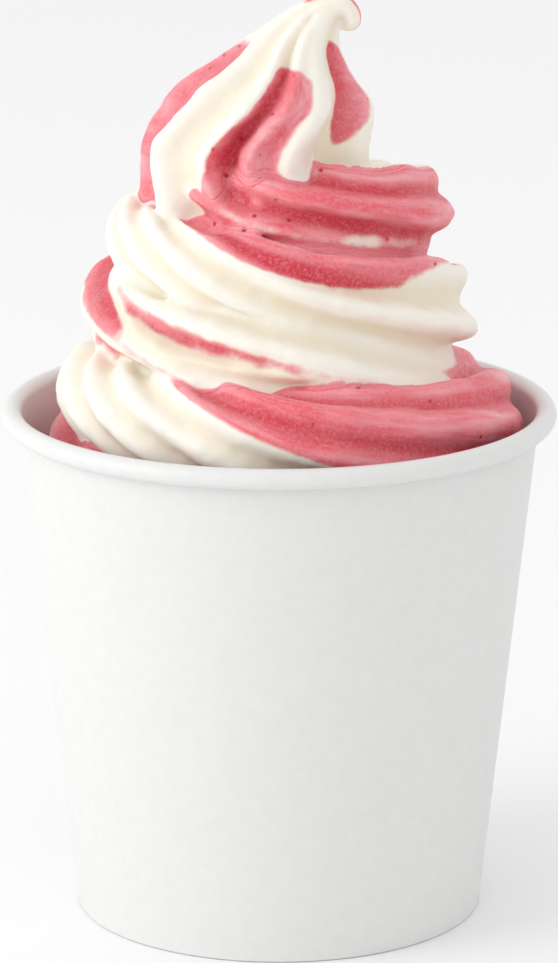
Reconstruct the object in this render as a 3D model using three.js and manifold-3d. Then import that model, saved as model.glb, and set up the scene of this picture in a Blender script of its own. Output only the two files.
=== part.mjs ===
// A paper dessert cup filled with a two-flavour frozen yogurt swirl, in millimetres with +Z up.
// The origin is the middle of the cup's foot, on the surface that it stands on.
import * as THREE from "three";
import { mergeVertices } from "three/addons/utils/BufferGeometryUtils.js";
import Module from "manifold-3d";

// ---- Driving dimensions ----

// Paper cup
const RIM_RADIUS = 46; // over the rolled rim
const CUP_HEIGHT = 86.3;
const FOOT_RADIUS = 34;
const PAPER = 0.6; // coated cup board
const CURL_RADIUS = 1.7; // outside of the rolled rim
const CURL_OPEN = THREE.MathUtils.degToRad(25); // how far short of the wall the roll stops
const SEAT_HEIGHT = 8; // top face of the recessed bottom
const LIP_HEIGHT = 6.8; // top of the wall's turned-in edge
const FLANGE_FOOT = 1.2; // lower edge of the bottom's own flange
const GAP = 0.3; // kept between pieces that touch
const COIL_GAP = 0.5; // the coils stay this far inside the wall
const ROUND_SIDES = 44;
const WELD = 0.01; // corners closer than this are one

// Frozen yogurt
const HOLLOW = 0.65; // share of a groove's depth, a quarter of the way over it
const AXIS_KEEP = 0.2; // the rope stops this far short of the axis
const FILL_LEVEL = 72; // the filling is packed to the wall up to here
const CORE_INSET = 2; // the solid middle reaches this far past the rope's centre line
const ROPE_STEP = 20; // most degrees of turn between two sections of the rope
const TWIST_STEP = 30; // most degrees of twist between them
const ROPE_STRETCH = 72; // degrees of turn in one stretch of rope

// The rope is laid clockwise as it rises. A station gives its centre line and section at one angle
// of turn: 0 is +X and 90 is -Y, the front.
// [turn, height, reach from the axis, half width, half height, twist, groove depth]
const STATIONS = [
  [-270, 72, 28, 10, 9.5, -590, 0.25],
  [-180, 75.5, 30, 10, 9.5, -510, 0.25],
  [-90, 80, 29.5, 10.5, 9.5, -400, 0.22],
  [0, 83, 32, 8.6, 10.3, -247, 0.26],
  [90, 88.2, 33.2, 6.8, 8.6, -176, 0.3],
  [180, 89, 27.5, 9.7, 8, 48, 0.3],
  [270, 90.4, 27.5, 11.5, 7, 116, 0.26],
  [360, 91, 19.5, 11.8, 5.4, 155, 0.12],
  [450, 98.8, 21.9, 10.2, 9.1, 201, 0.24],
  [540, 102.6, 23.6, 9.3, 8.6, 258, 0.26],
  [630, 102.8, 22.5, 10.4, 9.7, 349, 0.28],
  [720, 101.8, 22.7, 10.6, 11.2, 462, 0.34],
  [810, 111.2, 22.4, 6.3, 7.8, 490, 0.3],
  [900, 114, 22.9, 5.6, 7, 669, 0.3],
  [990, 114.8, 24, 9.5, 6.5, 743, 0.22],
  [1080, 118.3, 18.1, 10.8, 9, 777, 0.26],
  [1150, 122.4, 10, 14.5, 7.8, 799, 0.3],
  [1200, 123.2, 6.2, 14.8, 7, 828, 0.25],
  [1260, 123, 5, 12, 6, 900, 0.2],
];
const TWIST = 5; // column of the twist
const ROPE_RIDGES = [0, 60, 120, 180, 240, 300];

// The peak: the end of the rope, drawn upright and over to one side until it curls.
// [station, height, middle x, reach, lean towards +X, shift of the ridges]
const PEAK = [
  [0, 114, -4, 18, 0, 14],
  [1, 121, -4.2, 18.7, 0, 6],
  [2, 126, -4.2, 18.9, 0, 0],
  [3, 130.5, -3.8, 18.9, 0, -4],
  [4, 134.5, -2.4, 18.3, 0, 0],
  [5, 138.5, -0.9, 16, 4, 8],
  [6, 142.3, 1.7, 11.4, 10, 5],
  [7, 146, 3.9, 7.9, 22, -5],
  [8, 149.2, 5.9, 5.4, 40, -12],
  [9, 151.6, 8, 3.6, 62, -14],
  [10, 152.4, 10, 2.7, 95, -14],
  [11, 151.4, 11.4, 2.4, 130, -14],
  [12, 149.4, 11.8, 2.1, 165, -14],
  [13, 148.2, 11.6, 1, 175, -14],
];
const PEAK_STEPS = 2; // sections from one station to the next
const PEAK_STRETCHES = [0, 8, 10, 13]; // stations where the stretches of the peak meet
// Bearings of the ridges, from 0 at the front through 90 at +X, and the groove after each one.
const PEAK_RIDGES = [-100, -60, -22, 0, 21, 86, 128, 172, 216];
const PEAK_GROOVES = [0.16, 0.22, 0.3, 0.1, 0.2, 0.22, 0.25, 0.25, 0.22];

const rad = THREE.MathUtils.degToRad;

const wasm = await Module();
wasm.setup();

// ---- Solids ----

// A closed geometry as a solid that can be joined and cut.
function solid(geometry) {
  const bare = geometry.clone();
  bare.deleteAttribute("normal");
  bare.deleteAttribute("uv");
  const merged = mergeVertices(bare, WELD);
  const vertProperties = new Float32Array(merged.attributes.position.array);
  const triVerts = new Uint32Array(merged.index.array);
  return new wasm.Manifold(new wasm.Mesh({ numProp: 3, vertProperties, triVerts }));
}

function geometryOf(body) {
  const mesh = body.getMesh();
  const geometry = new THREE.BufferGeometry();
  geometry.setAttribute("position", new THREE.BufferAttribute(mesh.vertProperties, 3));
  geometry.setIndex(new THREE.BufferAttribute(mesh.triVerts, 1));
  geometry.computeVertexNormals();
  return geometry;
}

// A round body from its half section, listed anticlockwise as [radius, height].
function turned(outline) {
  const points = outline.map(([r, z]) => new THREE.Vector2(r, z));
  const geometry = new THREE.LatheGeometry(points, ROUND_SIDES);
  geometry.rotateX(Math.PI / 2);
  return geometry;
}

function closed(outline) {
  return [...outline, outline[0]];
}

// ---- Paper cup ----

const curlMiddle = [RIM_RADIUS - CURL_RADIUS, CUP_HEIGHT - CURL_RADIUS];
const wallTop = curlMiddle[1];
const wallTopOuter = curlMiddle[0] - CURL_RADIUS + PAPER;

// Outer radius of the straight side wall.
function wallOuter(z) {
  return FOOT_RADIUS + ((wallTopOuter - FOOT_RADIUS) * z) / wallTop;
}

function wallInner(z) {
  return wallOuter(z) - PAPER;
}

function curlArc(radius, from, to, steps) {
  return Array.from({ length: steps + 1 }, (_, i) => {
    const a = from + ((to - from) * i) / steps;
    return [curlMiddle[0] + radius * Math.cos(a), curlMiddle[1] + radius * Math.sin(a)];
  });
}

function cupWall() {
  const flangeInner = (z) => wallInner(z) - GAP - PAPER;
  const lipOuter = (z) => flangeInner(z) - GAP;
  const curlEnd = -Math.PI + CURL_OPEN;
  const outline = [
    [lipOuter(0) - PAPER, 0],
    [FOOT_RADIUS, 0],
    ...curlArc(CURL_RADIUS - PAPER, Math.PI, curlEnd, 9),
    ...curlArc(CURL_RADIUS, curlEnd, Math.PI, 12),
    [wallInner(PAPER), PAPER],
    [lipOuter(PAPER), PAPER],
    [lipOuter(LIP_HEIGHT), LIP_HEIGHT],
    [lipOuter(LIP_HEIGHT) - PAPER, LIP_HEIGHT],
  ];
  return turned(closed(outline));
}

function cupBottom() {
  const outer = (z) => wallInner(z) - GAP;
  const underside = SEAT_HEIGHT - PAPER;
  return turned([
    [0, underside],
    [outer(underside) - PAPER, underside],
    [outer(FLANGE_FOOT) - PAPER, FLANGE_FOOT],
    [outer(FLANGE_FOOT), FLANGE_FOOT],
    [outer(SEAT_HEIGHT), SEAT_HEIGHT],
    [0, SEAT_HEIGHT],
  ]);
}

// ---- Frozen yogurt ----

// Every value of a row in a table of stations, at one place between its first and last row, on a
// smooth curve through the rows. The first column is the place.
function between(stations, place) {
  const last = stations.length - 1;
  const found = stations.findIndex((s) => s[0] > place);
  const i = found < 0 ? last - 1 : found - 1;
  const rise = (k, c) => (stations[k + 1][c] - stations[k][c]) / (stations[k + 1][0] - stations[k][0]);
  const slope = (k, c) => {
    if (k === 0) return rise(0, c);
    if (k === last) return rise(last - 1, c);
    const before = stations[k][0] - stations[k - 1][0];
    const after = stations[k + 1][0] - stations[k][0];
    return (rise(k - 1, c) * after + rise(k, c) * before) / (before + after);
  };
  const [p, q] = [stations[i], stations[i + 1]];
  const span = q[0] - p[0];
  const t = (place - p[0]) / span;
  const value = (c) =>
    (2 * t ** 3 - 3 * t ** 2 + 1) * p[c] +
    (t ** 3 - 2 * t ** 2 + t) * span * slope(i, c) +
    (3 * t ** 2 - 2 * t ** 3) * q[c] +
    (t ** 3 - t ** 2) * span * slope(i + 1, c);
  return p.map((_, c) => value(c));
}

// A star round a middle, reaching along two directions, as points in space. A groove's depth is a
// share of the reach, and its sides are hollow.
function star(middle, across, up, ridges, grooves, twist) {
  return ridges.flatMap((bearing, k) => {
    const next = k + 1 < ridges.length ? ridges[k + 1] : ridges[0] + 360;
    return [0, HOLLOW, 1, HOLLOW].map((share, i) => {
      const angle = rad(bearing + ((next - bearing) * i) / 4 + twist);
      const size = 1 - share * grooves[k];
      const point = middle.clone().addScaledVector(across, size * Math.cos(angle));
      return point.addScaledVector(up, size * Math.sin(angle));
    });
  });
}

// The upright star section of a coil at one turn. No point of it reaches past the axis.
function ropeSection(turn) {
  const [, height, reach, width, depth, twist, groove] = between(STATIONS, turn);
  const outward = new THREE.Vector3(Math.cos(rad(turn)), -Math.sin(rad(turn)), 0);
  const middle = outward.clone().multiplyScalar(reach).setZ(height);
  const across = outward.clone().multiplyScalar(width);
  const grooves = ROPE_RIDGES.map(() => groove);
  const points = star(middle, across, new THREE.Vector3(0, 0, depth), ROPE_RIDGES, grooves, twist);
  return points.map((point) => {
    const short = Math.max(0, AXIS_KEEP - point.dot(outward));
    return point.addScaledVector(outward, short);
  });
}

// The star section of the peak at one place.
function peakSection(place) {
  const [, height, x, reach, lean, shift] = between(PEAK, place);
  const front = new THREE.Vector3(0, -reach, 0);
  const right = new THREE.Vector3(reach * Math.cos(rad(lean)), 0, -reach * Math.sin(rad(lean)));
  return star(new THREE.Vector3(x, 0, height), front, right, PEAK_RIDGES, PEAK_GROOVES, shift);
}

// A closed solid through sections that all have as many points, listed anticlockwise as seen from
// the last section.
function lofted(sections) {
  const sides = sections[0].length;
  const middles = [sections[0], sections[sections.length - 1]].map((section) => {
    const sum = section.reduce((total, p) => total.add(p), new THREE.Vector3());
    return sum.divideScalar(sides);
  });
  const positions = [];
  const push = (...corners) => corners.forEach((p) => positions.push(p.x, p.y, p.z));
  for (let side = 0; side < sides; side += 1) {
    const next = (side + 1) % sides;
    for (let r = 0; r + 1 < sections.length; r += 1) {
      const [low, high] = [sections[r], sections[r + 1]];
      push(low[side], low[next], high[next]);
      push(low[side], high[next], high[side]);
    }
    const end = sections[sections.length - 1];
    push(middles[0], sections[0][next], sections[0][side]);
    push(middles[1], end[side], end[next]);
  }
  const geometry = new THREE.BufferGeometry();
  geometry.setAttribute("position", new THREE.Float32BufferAttribute(positions, 3));
  return solid(geometry);
}

// A closed solid through the sections at even places between two ends.
function stretch(sectionAt, from, to, steps) {
  const places = Array.from({ length: steps + 1 }, (_, i) => from + ((to - from) * i) / steps);
  return lofted(places.map(sectionAt));
}

// The rope and the peak cross themselves, so each is joined from short stretches that don't.
function swirl() {
  const first = STATIONS[0][0];
  const last = STATIONS[STATIONS.length - 1][0];
  const stretches = [];
  for (let turn = first; turn < last; turn += ROPE_STRETCH) {
    const end = Math.min(turn + ROPE_STRETCH, last);
    const twisted = between(STATIONS, end)[TWIST] - between(STATIONS, turn)[TWIST];
    const steps = Math.ceil(Math.max((end - turn) / ROPE_STEP, twisted / TWIST_STEP));
    stretches.push(stretch(ropeSection, turn, end, steps));
  }
  PEAK_STRETCHES.slice(1).forEach((end, i) => {
    const start = PEAK_STRETCHES[i];
    stretches.push(stretch(peakSection, start, end, (end - start) * PEAK_STEPS));
  });
  return stretches.reduce((whole, next) => whole.add(next));
}

// What is packed to the wall below the swirl, and the solid middle inside its coils.
function filling() {
  const floor = SEAT_HEIGHT + GAP;
  const coils = STATIONS.filter((s) => s[0] >= 0 && s[0] % 90 === 0 && s[0] < 1150);
  const middle = coils.map((s) => [s[2] - CORE_INSET, s[1]]);
  const rising = middle.filter(([, z], i) => i === 0 || z > middle[i - 1][1] + 1);
  return solid(
    turned([
      [0, floor],
      [wallInner(floor) - GAP, floor],
      [wallInner(FILL_LEVEL) - GAP, FILL_LEVEL],
      ...rising,
      [0, rising[rising.length - 1][1]],
    ]),
  );
}

// The space that the coils may take: inside the wall, and free above the rim.
function roomForCoils() {
  const floor = FILL_LEVEL / 2;
  const brim = CUP_HEIGHT + GAP;
  return solid(
    turned([
      [0, floor],
      [wallInner(floor) - COIL_GAP, floor],
      [wallInner(wallTop) - COIL_GAP, wallTop],
      [wallInner(wallTop) - COIL_GAP, brim],
      [RIM_RADIUS, brim],
      [RIM_RADIUS, 2 * CUP_HEIGHT],
      [0, 2 * CUP_HEIGHT],
    ]),
  );
}

// Hollows shut in between the coils are inner shells, so the largest shell alone is the solid.
function frozenYogurt() {
  const joined = solid(geometryOf(swirl().intersect(roomForCoils()).add(filling())));
  const shells = joined.decompose().sort((a, b) => b.volume() - a.volume());
  return geometryOf(shells[0]);
}

// ---- The assembled part ----

function node(name, geometry, colour, roughness) {
  const material = new THREE.MeshStandardMaterial({ color: colour, roughness, metalness: 0 });
  const mesh = new THREE.Mesh(geometry, material);
  mesh.name = name;
  return mesh;
}

const cup = new THREE.Group();
cup.add(node("cup_wall", cupWall(), 0xf4f4f2, 0.55));
cup.add(node("cup_bottom", cupBottom(), 0xf4f4f2, 0.6));
cup.add(node("frozen_yogurt", frozenYogurt(), 0xf0c9c4, 0.45));

export default cup;
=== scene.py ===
# %% [markdown]
# # A paper cup of swirled frozen yogurt
# This lesson finishes a dessert cup: a white board cup with a rolled rim, and a tall rope of
# two-flavour frozen yogurt coiled up out of it. The cup is a turned form, so it is revolved from
# its half section. The rope follows a rule, so Geometry Nodes lay it. The two flavours are
# painted on it as marbling, because they leave the machine as one rope.

# %% Load the frame
import math

import bpy
import bmesh
import numpy as np
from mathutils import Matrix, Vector


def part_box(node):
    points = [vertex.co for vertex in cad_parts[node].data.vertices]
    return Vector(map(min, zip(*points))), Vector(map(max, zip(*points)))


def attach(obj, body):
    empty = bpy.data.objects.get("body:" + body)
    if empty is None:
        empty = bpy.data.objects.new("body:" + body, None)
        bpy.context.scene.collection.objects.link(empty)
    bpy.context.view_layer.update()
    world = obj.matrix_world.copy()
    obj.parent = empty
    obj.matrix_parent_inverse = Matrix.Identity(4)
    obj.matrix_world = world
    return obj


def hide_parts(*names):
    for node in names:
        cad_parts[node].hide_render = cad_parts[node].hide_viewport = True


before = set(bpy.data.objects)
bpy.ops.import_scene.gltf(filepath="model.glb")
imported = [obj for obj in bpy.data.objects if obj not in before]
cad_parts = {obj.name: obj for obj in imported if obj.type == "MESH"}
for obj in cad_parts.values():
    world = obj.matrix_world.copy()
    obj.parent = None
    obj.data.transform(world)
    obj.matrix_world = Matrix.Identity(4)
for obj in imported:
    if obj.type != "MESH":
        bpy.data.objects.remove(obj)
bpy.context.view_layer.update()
MM = 0.001
print("packed pieces:", sorted(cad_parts))

# %% [markdown]
# ## Two small helpers
# Colours are written as the hex values that a paint chart gives, and shaders want linear light.
# Trees of nodes could be drawn by hand in the editor. Built in code, with one function that adds
# a node and fills its inputs, a tree reads as a list of steps and comes out the same every run.

# %% Two small helpers


def linear(hex_colour):
    channels = [int(hex_colour[i : i + 2], 16) / 255 for i in (1, 3, 5)]
    light = [c / 12.92 if c <= 0.04045 else ((c + 0.055) / 1.055) ** 2.4 for c in channels]
    return (*light, 1.0)


def add_node(tree, kind, inputs=None, **settings):
    """Adds a node. Each input is a value, or another node's output socket to link from."""
    node = tree.nodes.new(kind)
    for name, value in settings.items():
        setattr(node, name, value)
    for key, value in (inputs or {}).items():
        if isinstance(value, bpy.types.NodeSocket):
            tree.links.new(value, node.inputs[key])
        else:
            node.inputs[key].default_value = value
    return node


print("white in linear light:", linear("#FFFFFF"))

# %% [markdown]
# ## Camera
# A long lens well back from the cup keeps its sides straight, and looking down by fifteen
# degrees shows the rim as a thin ellipse. The camera aims at a point on the cup's own axis.

# %% Camera
CAMERA_DISTANCE = 847.6 * MM
CAMERA_PITCH = math.radians(14.93)
CAMERA_AIM = Vector((0, 0, 72.5 * MM))
LENS = 190.3
camera_data = bpy.data.cameras.new("camera")
camera_data.lens = LENS
camera_data.sensor_width = 36
camera = bpy.data.objects.new("camera", camera_data)
away = Vector((0, -math.cos(CAMERA_PITCH), math.sin(CAMERA_PITCH)))
camera.location = CAMERA_AIM + away * CAMERA_DISTANCE
camera.rotation_euler = (math.pi / 2 - CAMERA_PITCH, 0, 0)
bpy.context.scene.collection.objects.link(camera)
bpy.context.scene.camera = camera
print("camera height, mm:", round(camera.location.z / MM))

# %% [markdown]
# ## Sizes from the frame
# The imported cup's boxes give its heights. They can't give its foot, its board or its roll, and
# a faceted rim measures a hair under its true size, so those are named here.

# %% Sizes
wall_low, wall_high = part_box("cup_wall")
bottom_low, bottom_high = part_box("cup_bottom")
RIM_RADIUS = 46 * MM
CUP_HEIGHT = wall_high.z + 0.01 * MM
FOOT_RADIUS = 34 * MM
BOARD = 0.6 * MM
CURL_RADIUS = 1.7 * MM
GAP = 0.3 * MM
SEAT_HEIGHT = bottom_high.z
FLANGE_FOOT = bottom_low.z
LIP_HEIGHT = SEAT_HEIGHT - 2 * BOARD
curl_middle = (RIM_RADIUS - CURL_RADIUS, CUP_HEIGHT - CURL_RADIUS)
print("cup height, mm:", round(CUP_HEIGHT / MM, 2))


def wall_outer(z):
    top = curl_middle[0] - CURL_RADIUS + BOARD
    return FOOT_RADIUS + (top - FOOT_RADIUS) * z / curl_middle[1]


def wall_inner(z):
    return wall_outer(z) - BOARD


# %% [markdown]
# ## Turned pieces
# A half section spun about the axis makes any round piece. Spinning in code gives clean quads
# and lets each edge of the section be marked sharp or smooth, which a modifier can't do as well.

# %% A function that spins a half section
ROUND_STEPS = 240
SHARP_TURN = math.radians(35)


def finished_object(name, mesh):
    piece = bpy.data.objects.new(name, mesh)
    bpy.context.scene.collection.objects.link(piece)
    return piece


def turned(name, section, steps=ROUND_STEPS):
    """A closed round piece from a closed half section of (radius, height) points."""
    mesh = bpy.data.meshes.new(name)
    shape = bmesh.new()
    rings = []
    for i in range(steps):
        angle = 2 * math.pi * i / steps
        ring = [
            shape.verts.new((r * math.cos(angle), r * math.sin(angle), z))
            for r, z in section
        ]
        rings.append(ring)
    count = len(section)
    for i in range(steps):
        here, after = rings[i], rings[(i + 1) % steps]
        for k in range(count):
            n = (k + 1) % count
            if section[k][0] < 1e-7 and section[n][0] < 1e-7:
                continue
            shape.faces.new((here[k], after[k], after[n], here[n]))
    bmesh.ops.remove_doubles(shape, verts=shape.verts, dist=1e-7)
    bmesh.ops.recalc_face_normals(shape, faces=shape.faces)
    for edge in shape.edges:
        edge.smooth = len(edge.link_faces) == 2 and edge.calc_face_angle(0) < SHARP_TURN
    for face in shape.faces:
        face.smooth = True
    shape.to_mesh(mesh)
    shape.free()
    print(name, "faces:", len(mesh.polygons))
    return finished_object(name, mesh)


# %% [markdown]
# ## Cup board
# The cup is wound from bleached board with a thin plastic coat. Its face is satin and nearly
# even, with a faint mottle where fibres lie thicker. The mottle is about 2 mm across, and the
# felt marks that catch the light are about 0.4 mm. Plain white would do from far away, but these
# two faint patterns are what tells board from plastic close up.

# %% Material: coated board
FIBRE_CLOUD = 2.0 * MM
FELT_MARK = 0.4 * MM
FELT_DEPTH = 0.02 * MM
SHEEN_SPREAD = 0.05


def coated_board(name, face, shade, roughness):
    material = bpy.data.materials.new(name)
    material.use_nodes = True
    tree = material.node_tree
    shader = tree.nodes["Principled BSDF"]
    place = add_node(tree, "ShaderNodeTexCoord").outputs["Object"]
    cloud = add_node(tree, "ShaderNodeTexNoise", {"Vector": place, "Scale": 1 / FIBRE_CLOUD, "Detail": 3.0})
    felt = add_node(tree, "ShaderNodeTexNoise", {"Vector": place, "Scale": 1 / FELT_MARK, "Detail": 2.0})
    soft = add_node(tree, "ShaderNodeMapRange", {0: cloud.outputs["Fac"], 1: 0.3, 2: 0.7})
    colour = add_node(
        tree, "ShaderNodeMix", {0: soft.outputs[0], 6: linear(shade), 7: linear(face)}, data_type="RGBA"
    )
    sheen = add_node(
        tree,
        "ShaderNodeMapRange",
        {0: felt.outputs["Fac"], 3: roughness - SHEEN_SPREAD, 4: roughness + SHEEN_SPREAD},
    )
    relief = add_node(
        tree, "ShaderNodeBump", {"Height": felt.outputs["Fac"], "Strength": 0.06, "Distance": FELT_DEPTH}
    )
    tree.links.new(colour.outputs[2], shader.inputs["Base Color"])
    tree.links.new(sheen.outputs[0], shader.inputs["Roughness"])
    tree.links.new(relief.outputs["Normal"], shader.inputs["Normal"])
    shader.inputs["IOR"].default_value = 1.5
    return material


cup_board = coated_board("coated cup board", "#E1E1E0", "#DEDEDD", 0.45)
inner_board = coated_board("coated cup bottom board", "#DEDEDC", "#DADAD8", 0.5)
print("board materials:", cup_board.name, inner_board.name)

# %% [markdown]
# ## Cup wall
# The wall is one strip of board. Its top edge is rolled outwards into a hollow bead, and its
# lower edge is folded in and up round the bottom's flange, which makes the ring it stands on.
# A cone with a thickness and a torus for a rim would look alike from outside. One section drawn
# round both faces of the board shows its true edge in the roll and in the fold too.

# %% Cup wall
CURL_OPEN = math.radians(25)


def curl(radius, start, end, steps):
    angles = np.linspace(start, end, steps + 1)
    return [(curl_middle[0] + radius * math.cos(a), curl_middle[1] + radius * math.sin(a)) for a in angles]


def flange_inner(z):
    return wall_inner(z) - GAP - BOARD


def lip_outer(z):
    return flange_inner(z) - GAP


FOOT_ROUND = 0.35 * MM
wall_section = [
    (lip_outer(0) - BOARD, FOOT_ROUND),
    (lip_outer(0) - BOARD + FOOT_ROUND, 0),
    (FOOT_RADIUS - FOOT_ROUND, 0),
    (wall_outer(FOOT_ROUND / 2), FOOT_ROUND / 2),
    (wall_outer(1.5 * MM), 1.5 * MM),
    *[(wall_outer(z), z) for z in np.linspace(0.1, 0.9, 9) * curl_middle[1]],
    *curl(CURL_RADIUS - BOARD, math.pi, -math.pi + CURL_OPEN, 24),
    *curl(CURL_RADIUS, -math.pi + CURL_OPEN, math.pi, 40),
    *[(wall_inner(z), z) for z in np.linspace(0.9, 0.1, 9) * curl_middle[1]],
    (wall_inner(BOARD), BOARD),
    (lip_outer(BOARD), BOARD),
    (lip_outer(LIP_HEIGHT), LIP_HEIGHT),
    (lip_outer(LIP_HEIGHT) - BOARD, LIP_HEIGHT),
]
wall = turned("cup_wall_board", wall_section)
wall.data.materials.append(cup_board)

# %% [markdown]
# ## Cup bottom
# A disc of board pressed into a shallow tray sits upside down in the fold of the wall. A flat
# disc would hide as well under the yogurt, but the tray's skirt is what the wall's fold grips.

# %% Cup bottom
under = SEAT_HEIGHT - BOARD
bottom_section = [
    (0, under),
    (wall_inner(under) - GAP - BOARD, under),
    (wall_inner(FLANGE_FOOT) - GAP - BOARD, FLANGE_FOOT),
    (wall_inner(FLANGE_FOOT) - GAP, FLANGE_FOOT),
    (wall_inner(SEAT_HEIGHT) - GAP, SEAT_HEIGHT),
    (0, SEAT_HEIGHT),
]
bottom = turned("cup_bottom_board", bottom_section)
bottom.data.materials.append(inner_board)

# %% [markdown]
# ## The rope's path
# Soft serve comes out of a star nozzle that doesn't turn, while the hand moves the cup round
# and down. The rope so laid climbs in a slowly closing coil, and its ridges wind once round it
# for each lap. A few stations say where its centre line runs and how wide, tall and twisted it
# is there. A smooth curve through the stations gives every place between them.

# %% Stations of the rope
# turn in degrees (0 is +X, 90 the front), then height, reach from the axis, half width and half
# height in mm, twist in degrees, groove depth as a share of the reach, and ridge sharpness
STATIONS = np.array([
    (-270, 72, 28, 10, 9.5, -590, 0.25, 1),
    (-180, 75.5, 30, 10, 9.5, -510, 0.25, 1),
    (-90, 80, 29.5, 10.5, 9.5, -400, 0.22, 0.8),
    (0, 83, 32, 8.6, 10.3, -247, 0.26, 0.5),
    (90, 88.2, 33.2, 6.8, 8.6, -176, 0.27, 0.8),
    (180, 89, 27.5, 9.7, 8, 48, 0.22, 0.8),
    (270, 90.4, 27.5, 11.5, 7, 116, 0.26, 1),
    (360, 91, 19.5, 11.8, 5.4, 155, 0.12, 0.7),
    (450, 98.8, 21.9, 10.2, 9.1, 201, 0.24, 1.2),
    (540, 102.6, 23.6, 9.3, 8.6, 258, 0.26, 1),
    (630, 102.8, 22.5, 10.4, 9.7, 349, 0.28, 1.2),
    (720, 101.8, 22.7, 10.6, 11.2, 462, 0.34, 1.3),
    (810, 111.2, 22.4, 6.3, 7.8, 490, 0.3, 1.2),
    (900, 114, 22.9, 5.6, 7, 669, 0.24, 0.75),
    (990, 114.8, 24, 9.5, 6.5, 743, 0.22, 1),
    (1080, 118.3, 18.1, 10.8, 9, 777, 0.26, 0.6),
    (1150, 122.4, 10, 14.5, 7.8, 799, 0.3, 0.8),
    (1200, 123.2, 6.2, 14.8, 7, 828, 0.25, 1),
    (1260, 123, 5, 12, 6, 900, 0.2, 1),
], float)
ROW_STEP = 2.0
END_ROUND = 9.0


def between_stations(stations, places):
    """Every column but the first, at places along the first, on a smooth curve."""
    x, y = stations[:, 0], stations[:, 1:]
    gaps = np.diff(x)[:, None]
    rise = np.diff(y, axis=0) / gaps
    inner = (rise[:-1] * gaps[1:] + rise[1:] * gaps[:-1]) / (gaps[:-1] + gaps[1:])
    slope = np.vstack([rise[:1], inner, rise[-1:]])
    i = np.clip(np.searchsorted(x, places, side="right") - 1, 0, len(x) - 2)
    t = ((places - x[i]) / (x[i + 1] - x[i]))[:, None]
    span = gaps[i]
    ease = 3 * t**2 - 2 * t**3
    lead = (t**3 - 2 * t**2 + t) * span * slope[i]
    tail = (t**3 - t**2) * span * slope[i + 1]
    return (y[i] * (1 - ease) + lead + y[i + 1] * ease + tail).T


turns = np.arange(STATIONS[0, 0], STATIONS[-1, 0] + ROW_STEP, ROW_STEP).clip(max=STATIONS[-1, 0])
laid = between_stations(STATIONS, turns)
height, reach, half_width, half_height, twist, groove_depth, sharpness = laid
from_end = np.minimum(turns - turns[0], turns[-1] - turns)
rounding = np.sqrt(1 - (1 - np.clip(from_end / END_ROUND, 0, 1)) ** 2)
theta = np.radians(turns)
flat = np.zeros_like(theta)
outward = np.stack([np.cos(theta), -np.sin(theta), flat], -1)
upward = np.tile([0.0, 0.0, 1.0], (len(turns), 1))
centre = outward * reach[:, None] + upward * height[:, None]
print("rows along the rope:", len(turns))


# %% [markdown]
# ## The centre line as a mesh
# The tree of nodes needs the stations' values at every row. A bare line of points can carry them
# as attributes, so the tree has no tables inside it and the stations stay in one place above.

# %% The rope's centre line as a mesh that carries what the nodes need
def store(mesh, name, kind, values):
    attribute = mesh.attributes.new(name, kind, "POINT")
    field = "vector" if kind == "FLOAT_VECTOR" else "value"
    attribute.data.foreach_set(field, np.asarray(values, np.float32).ravel())


line_mesh = bpy.data.meshes.new("rope_line")
line_mesh.from_pydata([tuple(p) for p in centre * MM], [(i, i + 1) for i in range(len(centre) - 1)], [])
store(line_mesh, "across", "FLOAT_VECTOR", outward * (half_width * rounding * MM)[:, None])
store(line_mesh, "up", "FLOAT_VECTOR", upward * (half_height * rounding * MM)[:, None])
store(line_mesh, "twist", "FLOAT", np.radians(twist))
store(line_mesh, "turn", "FLOAT", turns)
store(line_mesh, "groove depth", "FLOAT", groove_depth)
store(line_mesh, "sharpness", "FLOAT", sharpness)
rope = finished_object("yogurt_rope", line_mesh)
print("values carried:", [a.name for a in line_mesh.attributes if not a.is_internal])

# %% [markdown]
# ## Laying the rope with Geometry Nodes
# A grid has one row of points for each point of the centre line and one column for each step
# round the rope. Every grid point looks up its row's centre, its two half sizes and its twist,
# and moves to its place on a star. The star is a circle with a groove between each two ridges.
# A cosine raised to a power has narrow round ridges and wide hollow grooves, as a star nozzle cuts.
# Curve to Mesh could sweep a star too, but not with a width and a height of its own at each row.

# %% The node tree
WELD = 0.01 * MM


def number_input(tree, name, value):
    socket = tree.interface.new_socket(name, in_out="INPUT", socket_type="NodeSocketFloat")
    socket.default_value = value
    return socket


rope_tree = bpy.data.node_groups.new("laid rope", "GeometryNodeTree")
rope_tree.interface.new_socket("Geometry", in_out="INPUT", socket_type="NodeSocketGeometry")
rope_sizes = {"Ridges": 6.0, "Sides": 96.0}
rope_sockets = {name: number_input(rope_tree, name, value) for name, value in rope_sizes.items()}
rope_tree.interface.new_socket("Geometry", in_out="OUTPUT", socket_type="NodeSocketGeometry")


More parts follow.
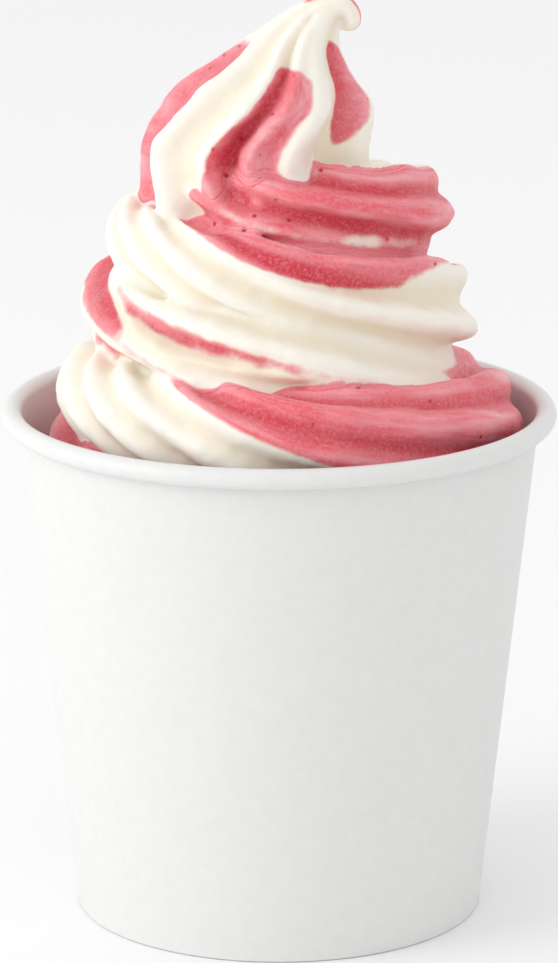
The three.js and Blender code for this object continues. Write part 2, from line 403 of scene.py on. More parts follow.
def build_rope_tree(tree):
    given = add_node(tree, "NodeGroupInput").outputs
    size = add_node(tree, "GeometryNodeAttributeDomainSize", {0: given["Geometry"]})
    columns = add_node(tree, "ShaderNodeMath", {0: given["Sides"], 1: 1.0}, operation="ADD")
    grid = add_node(
        tree,
        "GeometryNodeMeshGrid",
        {"Vertices X": size.outputs["Point Count"], "Vertices Y": columns.outputs[0]},
    )
    index = add_node(tree, "GeometryNodeInputIndex").outputs[0]
    share = add_node(tree, "ShaderNodeMath", {0: index, 1: columns.outputs[0]}, operation="DIVIDE")
    row = add_node(tree, "ShaderNodeMath", {0: share.outputs[0]}, operation="FLOOR")
    column = add_node(tree, "ShaderNodeMath", {0: index, 1: columns.outputs[0]}, operation="MODULO")
    around = add_node(tree, "ShaderNodeMath", {0: column.outputs[0], 1: given["Sides"]}, operation="DIVIDE")
    angle = add_node(tree, "ShaderNodeMath", {0: around.outputs[0], 1: 2 * math.pi}, operation="MULTIPLY")

    looked_up = {}
    looks = {"across": "FLOAT_VECTOR", "up": "FLOAT_VECTOR"}
    looks |= {name: "FLOAT" for name in ("twist", "turn", "groove depth", "sharpness")}
    for name, kind in looks.items():
        named = add_node(tree, "GeometryNodeInputNamedAttribute", {"Name": name}, data_type=kind)
        sample = add_node(
            tree,
            "GeometryNodeSampleIndex",
            {"Geometry": given["Geometry"], "Value": named.outputs[0], "Index": row.outputs[0]},
            data_type=kind,
        )
        looked_up[name] = sample.outputs[0]
    place = add_node(tree, "GeometryNodeInputPosition").outputs[0]
    middle = add_node(
        tree,
        "GeometryNodeSampleIndex",
        {"Geometry": given["Geometry"], "Value": place, "Index": row.outputs[0]},
        data_type="FLOAT_VECTOR",
    )

    # The star: 1 on a ridge, less in a groove.
    ridge_phase = add_node(
        tree, "ShaderNodeMath", {0: given["Ridges"], 1: angle.outputs[0]}, operation="MULTIPLY"
    )
    wave = add_node(tree, "ShaderNodeMath", {0: ridge_phase.outputs[0]}, operation="COSINE")
    lobe = add_node(tree, "ShaderNodeMath", {0: wave.outputs[0], 1: 0.5, 2: 0.5}, operation="MULTIPLY_ADD")
    crest = add_node(
        tree, "ShaderNodeMath", {0: lobe.outputs[0], 1: looked_up["sharpness"]}, operation="POWER"
    )
    short = add_node(tree, "ShaderNodeMath", {0: 1.0, 1: crest.outputs[0]}, operation="SUBTRACT")
    cut = add_node(
        tree, "ShaderNodeMath", {0: short.outputs[0], 1: looked_up["groove depth"]}, operation="MULTIPLY"
    )
    star = add_node(tree, "ShaderNodeMath", {0: 1.0, 1: cut.outputs[0]}, operation="SUBTRACT")

    turned_angle = add_node(
        tree, "ShaderNodeMath", {0: angle.outputs[0], 1: looked_up["twist"]}, operation="ADD"
    )
    legs = []
    for name, operation in (("across", "COSINE"), ("up", "SINE")):
        wave_of = add_node(tree, "ShaderNodeMath", {0: turned_angle.outputs[0]}, operation=operation)
        length = add_node(
            tree, "ShaderNodeMath", {0: wave_of.outputs[0], 1: star.outputs[0]}, operation="MULTIPLY"
        )
        leg = add_node(
            tree, "ShaderNodeVectorMath", {0: looked_up[name], "Scale": length.outputs[0]}, operation="SCALE"
        )
        legs.append(leg.outputs[0])
    offset = add_node(tree, "ShaderNodeVectorMath", {0: legs[0], 1: legs[1]}, operation="ADD")
    target = add_node(
        tree, "ShaderNodeVectorMath", {0: middle.outputs[0], 1: offset.outputs[0]}, operation="ADD"
    )

    # The groove depth is kept for the painted shade that darkens the grooves.
    named_grid = grid.outputs["Mesh"]
    for name, value in (
        ("ridge", ridge_phase.outputs[0]),
        ("lap", looked_up["turn"]),
        ("groove", cut.outputs[0]),
    ):
        stored = add_node(
            tree,
            "GeometryNodeStoreNamedAttribute",
            {"Geometry": named_grid, "Name": name, "Value": value},
            data_type="FLOAT",
            domain="POINT",
        )
        named_grid = stored.outputs[0]
    laid = add_node(tree, "GeometryNodeSetPosition", {"Geometry": named_grid, "Position": target.outputs[0]})
    closed = add_node(tree, "GeometryNodeMergeByDistance", {"Geometry": laid.outputs[0], "Distance": WELD})

    realized = add_node(tree, "GeometryNodeRealizeInstances", {0: closed.outputs[0]})
    finished = add_node(tree, "GeometryNodeSetMaterial", {0: realized.outputs[0]})
    add_node(tree, "NodeGroupOutput", {"Geometry": finished.outputs[0]})
    return finished


set_yogurt = build_rope_tree(rope_tree)
print("nodes in the rope's tree:", len(rope_tree.nodes))

# %% [markdown]
# ## Frozen yogurt
# Frozen yogurt is ice crystals, milk and air. It is soft and moist rather than glossy, lets a
# little light in, and shows a fine frosty grain with small burst bubbles. The pink half is
# coarser than the cream half. Streaks of one flavour run into the other along the rope. Two
# materials would meet on a hard line, so one material mixes both flavours by an attribute.
# Shade is painted into the colour as well: both flavours turn darker in the grooves, and the
# pink turns darker in its bubble pits.

# %% Material: frozen yogurt
# The second cream and the second pink are painted shade: the colours the grooves darken to. The pink one also
# darkens the bubble pits.
CREAM, CREAM_SHADE = "#F3EEE4", "#E9DDC6"
PINK, PINK_SHADE, PINK_PALE = "#E5636F", "#CC2C3F", "#F3AEB4"
FROST = 0.4 * MM
GRAIN = 0.6 * MM
BUBBLE = 4.2 * MM
LUMP = 3.0 * MM
FROST_DEPTH = 0.3 * MM
LIGHT_DEPTH = 1.5 * MM
EDGE_WANDER = 0.35
EDGE_SOFT = (0.36, 0.66)


def frozen_yogurt_material():
    material = bpy.data.materials.new("frozen yogurt")
    material.use_nodes = True
    tree = material.node_tree
    shader = tree.nodes["Principled BSDF"]
    place = add_node(tree, "ShaderNodeTexCoord").outputs["Object"]
    pink = add_node(tree, "ShaderNodeAttribute", attribute_name="pink").outputs["Fac"]
    groove = add_node(tree, "ShaderNodeAttribute", attribute_name="groove").outputs["Fac"]
    flow = add_node(tree, "ShaderNodeAttribute", attribute_name="flow").outputs["Vector"]

    # Where it is pink: the painted patches, with an edge that wanders and feathers along the rope.
    streaks = add_node(
        tree, "ShaderNodeTexNoise", {"Vector": flow, "Scale": 1.6, "Detail": 6.0, "Roughness": 0.62}
    ).outputs["Fac"]
    wander = add_node(
        tree, "ShaderNodeTexNoise", {"Vector": place, "Scale": 1 / LUMP, "Detail": 3.0}
    ).outputs["Fac"]
    both = add_node(tree, "ShaderNodeMath", {0: streaks, 1: wander}, operation="ADD")
    edge = add_node(
        tree,
        "ShaderNodeMath",
        {0: both.outputs[0], 1: EDGE_WANDER, 2: -EDGE_WANDER},
        operation="MULTIPLY_ADD",
    )
    shifted = add_node(tree, "ShaderNodeMath", {0: pink, 1: edge.outputs[0]}, operation="ADD")
    mask = add_node(
        tree,
        "ShaderNodeMapRange",
        {0: shifted.outputs[0], 1: EDGE_SOFT[0], 2: EDGE_SOFT[1]},
        interpolation_type="SMOOTHSTEP",
    ).outputs[0]

    # The pink flavour: pale and dark streaks, with painted shade that darkens the grooves, and a pale icy
    # grain all over.
    tone = add_node(tree, "ShaderNodeMapRange", {0: streaks, 1: 0.36, 2: 0.66})
    pinks = add_node(
        tree, "ShaderNodeMix", {0: tone.outputs[0], 6: linear(PINK), 7: linear(PINK_PALE)}, data_type="RGBA"
    ).outputs[2]
    # Painted shade: the deeper a groove, the nearer its colour comes to the shaded tone.
    groove_shade = add_node(tree, "ShaderNodeMapRange", {0: groove, 1: 0.07, 2: 0.27, 4: 0.9}).outputs[0]
    pink_with_groove_shade = add_node(
        tree, "ShaderNodeMix", {0: groove_shade, 6: pinks, 7: linear(PINK_SHADE)}, data_type="RGBA"
    ).outputs[2]
    grain = add_node(
        tree, "ShaderNodeTexNoise", {"Vector": place, "Scale": 1 / GRAIN, "Detail": 8.0, "Roughness": 0.75}
    ).outputs["Fac"]
    icy = add_node(tree, "ShaderNodeMapRange", {0: grain, 1: 0.47, 2: 0.68, 4: 0.42}).outputs[0]
    pink_all = add_node(
        tree, "ShaderNodeMix", {0: icy, 6: pink_with_groove_shade, 7: linear(PINK_PALE)}, data_type="RGBA"
    ).outputs[2]

    # The cream flavour, with the same painted shade in its grooves.
    cream_all = add_node(
        tree, "ShaderNodeMix", {0: groove_shade, 6: linear(CREAM), 7: linear(CREAM_SHADE)}, data_type="RGBA"
    ).outputs[2]
    colour = add_node(
        tree, "ShaderNodeMix", {0: mask, 6: cream_all, 7: pink_all}, data_type="RGBA"
    ).outputs[2]

    # Frost, small burst bubbles in the pink only, and soft lumps.
    frost = add_node(
        tree, "ShaderNodeTexNoise", {"Vector": place, "Scale": 1 / FROST, "Detail": 4.0}
    ).outputs["Fac"]
    shaken = add_node(
        tree, "ShaderNodeVectorMath", {0: place, 1: (0.3, 0.3, 0.3)}, operation="ADD"
    ).outputs[0]
    bubbles = add_node(
        tree, "ShaderNodeTexVoronoi", {"Vector": shaken, "Scale": 1 / BUBBLE}
    ).outputs["Distance"]
    holes = add_node(tree, "ShaderNodeMapRange", {0: bubbles, 1: 0.05, 2: 0.12, 3: 1.0, 4: 0.0}).outputs[0]
    pits = add_node(tree, "ShaderNodeMath", {0: holes, 1: mask}, operation="MULTIPLY").outputs[0]
    pink_frost = add_node(
        tree, "ShaderNodeMath", {0: mask, 1: 0.5, 2: 0.25}, operation="MULTIPLY_ADD"
    ).outputs[0]
    fine = add_node(tree, "ShaderNodeMath", {0: frost, 1: pink_frost}, operation="MULTIPLY").outputs[0]
    coarse = add_node(
        tree, "ShaderNodeMath", {0: grain, 1: pink_frost, 2: fine}, operation="MULTIPLY_ADD"
    ).outputs[0]
    sunk = add_node(
        tree, "ShaderNodeMath", {0: pits, 1: -2.0, 2: coarse}, operation="MULTIPLY_ADD"
    ).outputs[0]
    bump = add_node(tree, "ShaderNodeBump", {"Height": sunk, "Strength": 0.6, "Distance": FROST_DEPTH})
    # Painted shade: the bubble pits are coloured the shaded pink as well as sunk.
    pitted = add_node(
        tree, "ShaderNodeMix", {0: pits, 6: colour, 7: linear(PINK_SHADE)}, data_type="RGBA"
    ).outputs[2]
    tree.links.new(pitted, shader.inputs["Base Color"])
    tree.links.new(bump.outputs["Normal"], shader.inputs["Normal"])
    shader.inputs["Roughness"].default_value = 0.5
    shader.inputs["IOR"].default_value = 1.38
    shader.inputs["Subsurface Weight"].default_value = 0.4
    shader.inputs["Subsurface Radius"].default_value = (1.0, 0.55, 0.4)
    shader.inputs["Subsurface Scale"].default_value = LIGHT_DEPTH
    return material


yogurt = frozen_yogurt_material()
set_yogurt.inputs["Material"].default_value = yogurt
print("material:", yogurt.name, "with", len(yogurt.node_tree.nodes), "nodes")


# %% [markdown]
# ## From a tree to a plain mesh
# A live modifier would keep the sizes open to change, but other programs read plain meshes only.
# So each tree is run once with its named sizes, its result is kept, and the modifier goes.

# %% Run the tree and keep its plain mesh
def laid_out(piece, tree, sockets, values):
    """Runs a tree on a piece, and returns the result as a plain mesh with no modifier left."""
    modifier = piece.modifiers.new("layout", "NODES")
    modifier.node_group = tree
    for name, value in values.items():
        modifier[sockets[name].identifier] = value
    graph = bpy.context.evaluated_depsgraph_get()
    graph.update()
    mesh = bpy.data.meshes.new_from_object(
        piece.evaluated_get(graph), preserve_all_data_layers=True, depsgraph=graph
    )
    piece.modifiers.remove(modifier)
    piece.data = mesh
    print(piece.name, "faces:", len(mesh.polygons))
    return mesh


rope_mesh = laid_out(rope, rope_tree, rope_sockets, rope_sizes)

# %% [markdown]
# ## The peak
# As the nozzle stops, the last of the rope is drawn straight up, thins, and flops over in a
# small curl. Its ridges are pulled together unevenly, so they are named one by one by their
# bearing: 0 faces the front and 90 the right. The rope's rule can't make ridges of uneven width,
# so sections stacked on a leaning line make the peak instead.

# %% Peak
# place, x, y, height, reach in mm, then lean to +X and shift of the ridges in degrees
PEAK = np.array([
    (0, -4, 0, 114, 18, 0, 14),
    (1, -4.2, 0, 121, 18.7, 0, 6),
    (2, -4.2, 0, 126, 18.9, 0, 0),
    (3, -3.8, 0, 130.5, 18.9, 0, -4),
    (4, -2.4, 0, 134.5, 18.3, 0, 0),
    (5, -0.9, 0, 138.5, 16, 4, 8),
    (6, 1.7, 0, 142.3, 11.4, 10, 5),
    (7, 3.9, 0, 146, 7.9, 22, -5),
    (8, 5.9, 0, 149.2, 5.4, 40, -12),
    (9, 8, 0, 151.6, 3.6, 62, -14),
    (10, 10, 0, 152.4, 2.7, 95, -14),
    (11, 11.4, 0, 151.4, 2.4, 130, -14),
    (12, 11.8, 0, 149.4, 2.1, 165, -14),
    (12.6, 11.7, 0, 148.2, 1.7, 175, -14),
], float)
PEAK_RIDGES = [-100, -60, -22, 0, 21, 86, 128, 172, 216]
PEAK_GROOVES = [0.16, 0.22, 0.3, 0.1, 0.25, 0.22, 0.25, 0.25, 0.22]
PEAK_ROWS = 260
PEAK_SIDES = 180
PEAK_SHARPNESS = 1.5
TIP_ROUND = 0.6


def peak_mesh():
    places = np.linspace(PEAK[0, 0], PEAK[-1, 0], PEAK_ROWS)
    x, y, z, size, lean, shift = between_stations(PEAK, places)
    from_tip = np.clip((places[-1] - places) / TIP_ROUND, 0, 1)
    size = size * np.sqrt(1 - (1 - from_tip) ** 2)
    bearing = np.linspace(0, 360, PEAK_SIDES, endpoint=False) + PEAK_RIDGES[0]
    marks = np.array([*PEAK_RIDGES, PEAK_RIDGES[0] + 360])
    ridge = np.interp(bearing, marks, np.arange(len(marks)))
    depth = np.array([*PEAK_GROOVES, PEAK_GROOVES[0]])[ridge.astype(int)]
    groove = 1 - (0.5 + 0.5 * np.cos(2 * math.pi * ridge)) ** PEAK_SHARPNESS
    star = 1 - depth * groove
    angle = np.radians(bearing[None, :] + shift[:, None])
    tip = np.radians(lean)[:, None]
    spread = (size[:, None] * star[None, :])[..., None]
    front = np.cos(angle)[..., None] * np.array([0.0, -1.0, 0.0])
    right = np.sin(angle)[..., None] * np.stack([np.cos(tip), 0 * tip, -np.sin(tip)], -1)
    middle = np.stack([x, y, z], -1)[:, None, :]
    points = (middle + spread * (front + right)).reshape(-1, 3) * MM
    rows, sides = PEAK_ROWS, PEAK_SIDES
    faces = [
        (r * sides + c, r * sides + (c + 1) % sides, (r + 1) * sides + (c + 1) % sides, (r + 1) * sides + c)
        for r in range(rows - 1)
        for c in range(sides)
    ]
    faces.append(tuple(reversed(range(sides))))
    faces.append(tuple(range((rows - 1) * sides, rows * sides)))
    mesh = bpy.data.meshes.new("yogurt_peak")
    mesh.from_pydata(points.tolist(), [], faces)
    store(mesh, "ridge", "FLOAT", np.tile(ridge, rows))
    store(mesh, "lap", "FLOAT", np.repeat(places, sides))
    store(mesh, "groove", "FLOAT", np.tile(groove * depth, rows))
    print("peak faces:", len(faces))
    return mesh


peak = finished_object("yogurt_peak", peak_mesh())

# %% [markdown]
# ## Two flavours in one rope
# The machine pushes cream through one side of the nozzle and pink through the other, so a
# flavour keeps to its own ridges, and wanders where the streams push each other. Ridges are
# counted from the outer side of each lap. A patch of pink is then a stretch of turn and a
# stretch of ridges, and the flavour's edge is a little ragged.

# %% Where the pink runs
# how pink, then for each turn along the rope the ridge that a band starts at and the one it ends at;
# a band below 0 takes away pink that the bands before it made, and here that paints a highlight on a crest
ROPE_PINK = [
    # the coil below the rim, then the inner half of the lowest lap and its right end
    (1, [(-400, -30, 30), (60, -30, 30)]),
    (1, [(0, 2.95, 9), (150, 2.95, 9), (170, 3.3, 9), (335, 3.3, 9)]),
    (1, [(330, -2.6, 1), (368, -2.6, 1)]),
    # a thin streak along the face of the second lap, with fainter ones below it
    (0.6, [(392, -3.28, -3.06), (430, -3.28, -3.06), (450, -3.32, -3.07)]),
    (0.7, [
        (440, -3.31, -3.07), (466, -3.42, -3.09), (484, -3.5, -3.1), (500, -3.4, -3.1), (518, -3.15, -3.0),
    ]),
    (0.52, [(462, -4.4, -3.95), (488, -4.1, -3.8), (512, -3.95, -3.55)]),
    (0.58, [(494, -4.95, -4.6), (515, -4.95, -4.2), (535, -4.95, -3.9)]),
    # the left end and the back of the second lap
    (0.85, [(500, -3.92, -3.6), (520, -3.9, -3.3), (540, -3.95, -3.1), (565, -4.3, -3.1)]),
    (1, [(545, -7.2, -3.2), (700, -7.2, -3.2)]),
    # the upper half of the third lap, and a pale stain below it
    (1, [
        (722, -6.95, -4), (742, -7.02, -4), (756, -7.13, -4), (768, -7.3, -4), (798, -7.66, -4),
        (832, -8, -4), (890, -8, -4),
    ]),
    (0.42, [(735, -7.95, -7.6), (800, -7.9, -7.5)]),
    # the top lap, and a painted highlight along the crest of its lower edge, where pink is taken away
    (1, [(930, -16, -12.2), (1080, -16, -12.2)]),
    (1, [
        (1030, -16.4, -12), (1211, -16.4, -12), (1218, -16.4, -13.9), (1238, -16.4, -14.8),
        (1252, -16.4, -15.3),
    ]),
    # Painted highlight: less pink along the crest, so that it looks pale as if lit.
    (-0.58, [(1096, -13.72, -13.5), (1118, -13.82, -13.58), (1138, -13.92, -13.68)]),
    (-0.58, [(1128, -13.9, -13.66), (1162, -14.03, -13.8), (1188, -14, -13.76), (1206, -13.9, -13.68)]),
]
# The same for the peak, by its own numbered places and ridges.
PEAK_PINK = [
    # the left ridge, then the front groove and the ridge right of it
    (1, [(-3, -1, 0.85), (6.5, -1, 0.85)]),
    (1, [
        (-3, 1.0, 3.3), (0.5, 1.15, 3.3), (0.9, 1.57, 3.3), (2, 1.85, 3.3), (2.5, 2, 3.3),
        (6.3, 2.15, 3.3),
    ]),
    (0.75, [(-3, 3.2, 3.8), (6.1, 3.2, 3.8)]),
    # the patch on the right, the curled tip and the back
    (1, [(3.2, 4.6, 4.75), (4, 4.42, 4.9), (6.5, 4.42, 4.93), (8, 4.4, 4.9)]),
    (1, [(8.4, -1, 1.3), (14, -1, 1.3)]),
    (1, [(8.4, 7, 10), (14, 7, 10)]),
    (1, [(-3, 6.5, 8), (8, 6.5, 8)]),
]
TURN_EDGE, PLACE_EDGE, RIDGE_EDGE = 8.0, 0.35, 0.12


def read(mesh, name):
    values = np.empty(len(mesh.vertices), np.float32)
    mesh.attributes[name].data.foreach_get("value", values)
    return values.astype(float)


def pinkness(place, ridge, bands, place_edge):
    pink = np.zeros(len(place))
    for share, band in bands:
        start, low, high = (np.array(column, float) for column in zip(*band))
        inside_place = np.minimum(place - start[0], start[-1] - place) / place_edge
        inside_low = ridge - np.interp(place, start, low)
        inside_high = np.interp(place, start, high) - ridge
        depth = np.minimum(inside_place, np.minimum(inside_low, inside_high) / RIDGE_EDGE)
        covered = np.clip(0.5 + 0.5 * depth, 0, 1)
        pink = np.maximum(pink, share * covered) if share > 0 else pink * (1 + share * covered)
    return pink


print("bands of pink:", len(ROPE_PINK), "on the rope,", len(PEAK_PINK), "on the peak")

# %% [markdown]
# ## Where the rope swells and sinks
# A hand-laid rope is not an even star. Where it is squeezed, a small extra ridge rises or a ridge
# sinks into its neighbour. Sculpting could shape these, but it can't be run again. A soft bump
# that follows a path of turn and ridge can, and it moves only the rope's own points.

# %% Swellings
# how high in mm, how wide in ridges, then (turn, ridge) along its middle
SWELLS = [
    (2.4, 0.13, [
        (425, -3.2), (450, -3.38), (466, -3.53), (484, -3.62), (496, -3.52), (506, -3.3), (516, -3.1),
    ]),
    (-0.9, 0.1, [(440, -3.2), (466, -3.28), (484, -3.34), (500, -3.25)]),
    (1.6, 0.25, [(440, -3.8), (470, -3.85), (500, -3.75), (530, -3.6)]),
    (1.4, 0.2, [(728, -6.85), (756, -6.98), (780, -7.15), (815, -7.5), (850, -7.6)]),
    (-1.3, 0.07, [(742, -7.12), (768, -7.36), (798, -7.72), (818, -7.86)]),
    (-1.8, 0.4, [(1100, -12), (1120, -12), (1150, -12), (1200, -12)]),
    (-3, 0.7, [(1194, -13.1), (1225, -13.2), (1275, -13.6)]),
    (0.9, 0.22, [
        (1090, -13.6), (1118, -13.7), (1138, -13.8), (1162, -13.91), (1188, -13.88), (1210, -13.75),
    ]),
]
SWELL_FADE = 15


def swelling(place, ridge):
    swell = np.zeros(len(place))
    for high, wide, line in SWELLS:
        along, middle = (np.array(column, float) for column in zip(*line))
        fade = np.clip(np.minimum(place - along[0], along[-1] - place) / SWELL_FADE, 0, 1)
        swell += high * fade * np.exp(-(((ridge - np.interp(place, along, middle)) / wide) ** 2))
    return swell * MM


print("swellings:", len(SWELLS))

# %% [markdown]
# ## Painting the flavours and moving the swellings
# Each point of the rope knows its turn and its bearing round the rope, which give its ridge. The
# shares of pink and the swellings are looked up there. Image textures could hold the flavours,
# but would need the rope unwrapped. The flow attribute stretches the streaks along the rope.

# %% Pink, swellings and flow
lap, phase = read(rope_mesh, "lap"), read(rope_mesh, "ridge")
own_twist = np.interp(lap, turns, twist)
bearing = (np.degrees(phase) / 6 + own_twist + 180) % 360 - 180
own_ridge = (bearing - own_twist) / 60
store(rope_mesh, "pink", "FLOAT", pinkness(lap, own_ridge, ROPE_PINK, TURN_EDGE))
points = np.empty(3 * len(lap), np.float32)
rope_mesh.vertices.foreach_get("co", points)
points = points.reshape(-1, 3)
line = np.stack([np.interp(lap, turns, centre[:, axis]) for axis in range(3)], -1) * MM
from_line = points - line
from_line /= np.linalg.norm(from_line, axis=1, keepdims=True) + 1e-9
rope_mesh.vertices.foreach_set("co", (points + from_line * swelling(lap, own_ridge)[:, None]).ravel())
along, around = np.radians(lap) * 3.0, phase / 6
store(rope_mesh, "flow", "FLOAT_VECTOR", np.stack([along * 0.35, 2 * np.cos(around), 2 * np.sin(around)], -1))
level, peak_ridge = read(peak.data, "lap"), read(peak.data, "ridge")
store(peak.data, "pink", "FLOAT", pinkness(level, peak_ridge, PEAK_PINK, PLACE_EDGE))
store(peak.data, "flow", "FLOAT_VECTOR", np.stack([level * 0.5, peak_ridge, 0 * level], -1))
print("share of the rope's points that are pink:", round(float((read(rope_mesh, "pink") > 0.5).mean()), 2))

# %% [markdown]
# ## A core
# The rope's laps and the peak press into each other, so they are one body. The laps alone would
# leave a hole down the middle and chinks between them, so a turned core fills the inside.

# %% Core
CORE = [
    (0, 68), (33, 68), (32, 84), (30.5, 92), (27.5, 97), (25.5, 100), (25.5, 106),
    (24, 112), (22.2, 116.5), (18.5, 119.5), (12, 122), (9, 128), (0, 128),
]
CREAM_MIDDLE, CREAM_HALF = 103.5, 8
core = turned("yogurt_core", [(r * MM, z * MM) for r, z in CORE], steps=96)
core_height = np.array([vertex.co.z for vertex in core.data.vertices]) / MM
for name in ("ridge", "lap", "groove"):
    store(core.data, name, "FLOAT", 0 * core_height)
store(core.data, "pink", "FLOAT", np.abs(core_height - CREAM_MIDDLE) > CREAM_HALF)
store(core.data, "flow", "FLOAT_VECTOR", np.zeros((len(core_height), 3)))

# %% [markdown]
# ## One skin
# Booleans could join the pieces, but leave a knife-sharp line wherever two laps touch. A voxel
# remesh melts them to one closed skin with soft joins, as the surface of real food has.

# %% Join and remesh
VOXEL = 0.5 * MM


def joined(name, pieces):
    whole = bmesh.new()
    for piece in pieces:
        whole.from_mesh(piece.data)
    bmesh.ops.recalc_face_normals(whole, faces=whole.faces)
    mesh = bpy.data.meshes.new(name)
    whole.to_mesh(mesh)
    whole.free()
    return finished_object(name, mesh)


swirl_parts = joined("swirl_parts", [rope, peak, core])
swirl = finished_object("yogurt_swirl", swirl_parts.data.copy())
remesh = swirl.modifiers.new("one skin", "REMESH")
remesh.mode = "VOXEL"
remesh.voxel_size = VOXEL
graph = bpy.context.evaluated_depsgraph_get()
graph.update()
skin = bpy.data.meshes.new_from_object(swirl.evaluated_get(graph), depsgraph=graph)
swirl.modifiers.remove(remesh)
swirl.data = skin
print("skin faces:", len(skin.polygons))

# %% [markdown]
# ## Attributes and lumps for the skin
# The remesh forgets the attributes, so a second tree looks each one up on the nearest old surface
# and blurs it, which hides the jumps between pieces. It then settles the skin a little, and swells
# and pinches it with wide, low lumps, so that no two stretches of rope are alike.

# %% The tree that carries the attributes over and adds the lumps
ATTRIBUTE_BLUR = 4
SETTLE_STEPS = 5
skin_tree = bpy.data.node_groups.new("yogurt skin", "GeometryNodeTree")
skin_tree.interface.new_socket("Geometry", in_out="INPUT", socket_type="NodeSocketGeometry")
skin_sizes = {"Lump size": 9 * MM, "Lump height": 0.5 * MM, "Seed": 4.0}
skin_sockets = {name: number_input(skin_tree, name, value) for name, value in skin_sizes.items()}
skin_tree.interface.new_socket("Geometry", in_out="OUTPUT", socket_type="NodeSocketGeometry")


def build_skin_tree(tree, source):
    given = add_node(tree, "NodeGroupInput").outputs
    old = add_node(tree, "GeometryNodeObjectInfo", {"Object": source}).outputs["Geometry"]
    carried = given["Geometry"]
    kinds = {"pink": "FLOAT", "groove": "FLOAT", "flow": "FLOAT_VECTOR"}
    for name, kind in kinds.items():
        named = add_node(tree, "GeometryNodeInputNamedAttribute", {"Name": name}, data_type=kind)
        nearest = add_node(
            tree, "GeometryNodeSampleNearestSurface", {"Mesh": old, "Value": named.outputs[0]}, data_type=kind
        )
        blurred = add_node(
            tree,
            "GeometryNodeBlurAttribute",
            {"Value": nearest.outputs[0], "Iterations": ATTRIBUTE_BLUR},
            data_type=kind,
        )
        stored = add_node(
            tree,
            "GeometryNodeStoreNamedAttribute",
            {"Geometry": carried, "Name": name, "Value": blurred.outputs[0]},
            data_type=kind,
            domain="POINT",
        )
        carried = stored.outputs[0]
    place = add_node(tree, "GeometryNodeInputPosition").outputs[0]
    settled = add_node(
        tree,
        "GeometryNodeBlurAttribute",
        {"Value": place, "Iterations": SETTLE_STEPS},
        data_type="FLOAT_VECTOR",
    ).outputs[0]
    carried = add_node(tree, "GeometryNodeSetPosition", {"Geometry": carried, "Position": settled}).outputs[0]
    lump_scale = add_node(tree, "ShaderNodeMath", {0: 1.0, 1: given["Lump size"]}, operation="DIVIDE")
    lumps = add_node(
        tree,
        "ShaderNodeTexNoise",
        {"Vector": place, "W": given["Seed"], "Scale": lump_scale.outputs[0], "Detail": 2.0},
        noise_dimensions="4D",
    )
    centred = add_node(
        tree, "ShaderNodeMath", {0: lumps.outputs[0], 1: 4.0, 2: -2.0}, operation="MULTIPLY_ADD"
    )
    swell = add_node(
        tree, "ShaderNodeMath", {0: centred.outputs[0], 1: given["Lump height"]}, operation="MULTIPLY"
    )
    normal = add_node(tree, "GeometryNodeInputNormal").outputs[0]
    push = add_node(tree, "ShaderNodeVectorMath", {0: normal, "Scale": swell.outputs[0]}, operation="SCALE")
    lumpy = add_node(tree, "GeometryNodeSetPosition", {"Geometry": carried, "Offset": push.outputs[0]})
    smooth = add_node(tree, "GeometryNodeSetShadeSmooth", {0: lumpy.outputs[0]})
    realized = add_node(tree, "GeometryNodeRealizeInstances", {0: smooth.outputs[0]})
    finished = add_node(tree, "GeometryNodeSetMaterial", {0: realized.outputs[0], "Material": yogurt})
    add_node(tree, "NodeGroupOutput", {"Geometry": finished.outputs[0]})


build_skin_tree(skin_tree, swirl_parts)
swirl_mesh = laid_out(swirl, skin_tree, skin_sockets, skin_sizes)
for spent in (rope, peak, core, swirl_parts):
    bpy.data.objects.remove(spent)

# %% [markdown]
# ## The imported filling
# Below the swirl the cup is simply full, and none of it shows. It could be coiled like the rest,
# but a turned piece follows the wall a hair inside it, and closes the cup under the first lap.

# %% Filling
FILL_LEVEL = 72 * MM
FILL_CROWN = 0.5 * MM
fill_floor = SEAT_HEIGHT + GAP
fill_section = [
    (0, fill_floor),
    (wall_inner(fill_floor) - GAP, fill_floor),
    *[(wall_inner(z) - GAP, z) for z in np.linspace(0.2, 1.0, 5) * FILL_LEVEL],
    *[(r * RIM_RADIUS, FILL_LEVEL + FILL_CROWN) for r in np.linspace(0.86, 0, 20)],
]
filling = turned("yogurt_filling", fill_section, steps=120)
filling.data.materials.append(yogurt)
for name, value in (("pink", 1.0), ("groove", 0.06)):
    store(filling.data, name, "FLOAT", np.full(len(filling.data.vertices), value))
store(filling.data, "flow", "FLOAT_VECTOR", np.zeros((len(filling.data.vertices), 3)))

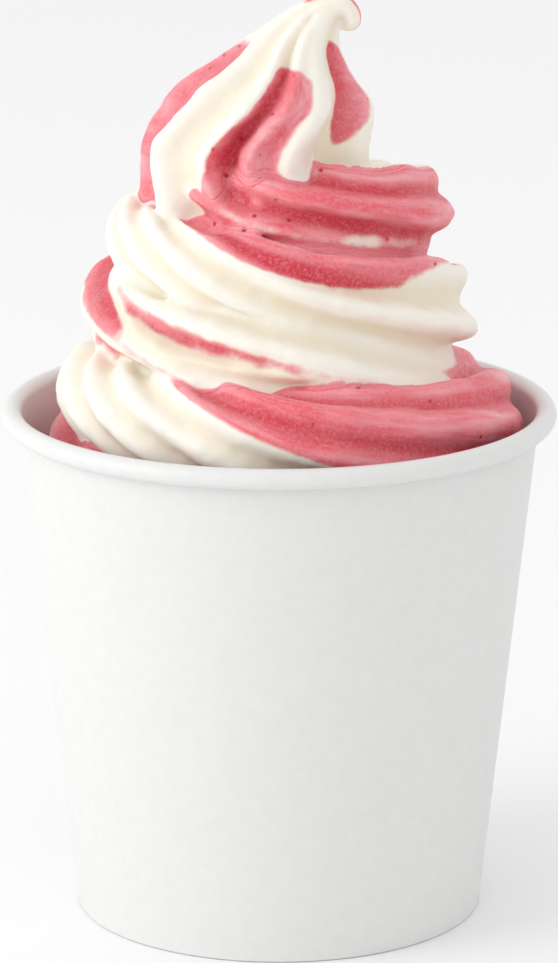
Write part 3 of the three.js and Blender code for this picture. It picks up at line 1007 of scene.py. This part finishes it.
# %% [markdown]
# ## Table, light and air
# White things need a light room with one clear side: a large soft window on the left, even white
# air all round as the fill, and a pale table that throws light back up. More lamps would give
# more shadows on the ridges, and one is enough to show how deep the grooves are.

# %% Floor and lights
scene = bpy.context.scene
scene.view_settings.view_transform = "Standard"
FLOOR_SIZE = 6.0
ROOM_LIGHT = 0.95
LIT_POINT = (0, 0, 0.09)
WINDOW_PLACE, WINDOW_SIZE, WINDOW_POWER = (-0.95, -0.35, 0.5), 0.8, 4.6
floor_mesh = bpy.data.meshes.new("table")
s = FLOOR_SIZE / 2
floor_mesh.from_pydata([(-s, -s, 0), (s, -s, 0), (s, s, 0), (-s, s, 0)], [], [(0, 1, 2, 3)])
floor = finished_object("table", floor_mesh)
floor_material = bpy.data.materials.new("pale table")
floor_material.use_nodes = True
floor_shader = floor_material.node_tree.nodes["Principled BSDF"]
floor_shader.inputs["Base Color"].default_value = linear("#F4F4F4")
floor_shader.inputs["Roughness"].default_value = 0.9
floor_mesh.materials.append(floor_material)

world = bpy.data.worlds.new("room")
scene.world = world
world.use_nodes = True
world.node_tree.nodes["Background"].inputs["Color"].default_value = (1, 1, 1, 1)
world.node_tree.nodes["Background"].inputs["Strength"].default_value = ROOM_LIGHT


def soft_light(name, place, size, power):
    data = bpy.data.lights.new(name, "AREA")
    data.shape = "DISK"
    data.size = size
    data.energy = power
    lamp = bpy.data.objects.new(name, data)
    lamp.location = place
    lamp.rotation_euler = (Vector(LIT_POINT) - Vector(place)).to_track_quat("-Z", "Y").to_euler()
    scene.collection.objects.link(lamp)
    return lamp


soft_light("window", WINDOW_PLACE, WINDOW_SIZE, WINDOW_POWER)

# %% [markdown]
# ## Bodies
# Each piece rides on the cup's one body and stands for its imported solid, which is hidden.
# The swirl and the filling are both the yogurt, so together they stand for its one solid.

# %% Bodies and replaced nodes
for piece, node, slot in (
    (wall, "cup_wall", "cup_board"),
    (bottom, "cup_bottom", "cup_bottom_board"),
    (swirl, "frozen_yogurt", "frozen_yogurt"),
    (filling, "frozen_yogurt", "frozen_yogurt"),
):
    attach(piece, "root")
    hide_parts(node)
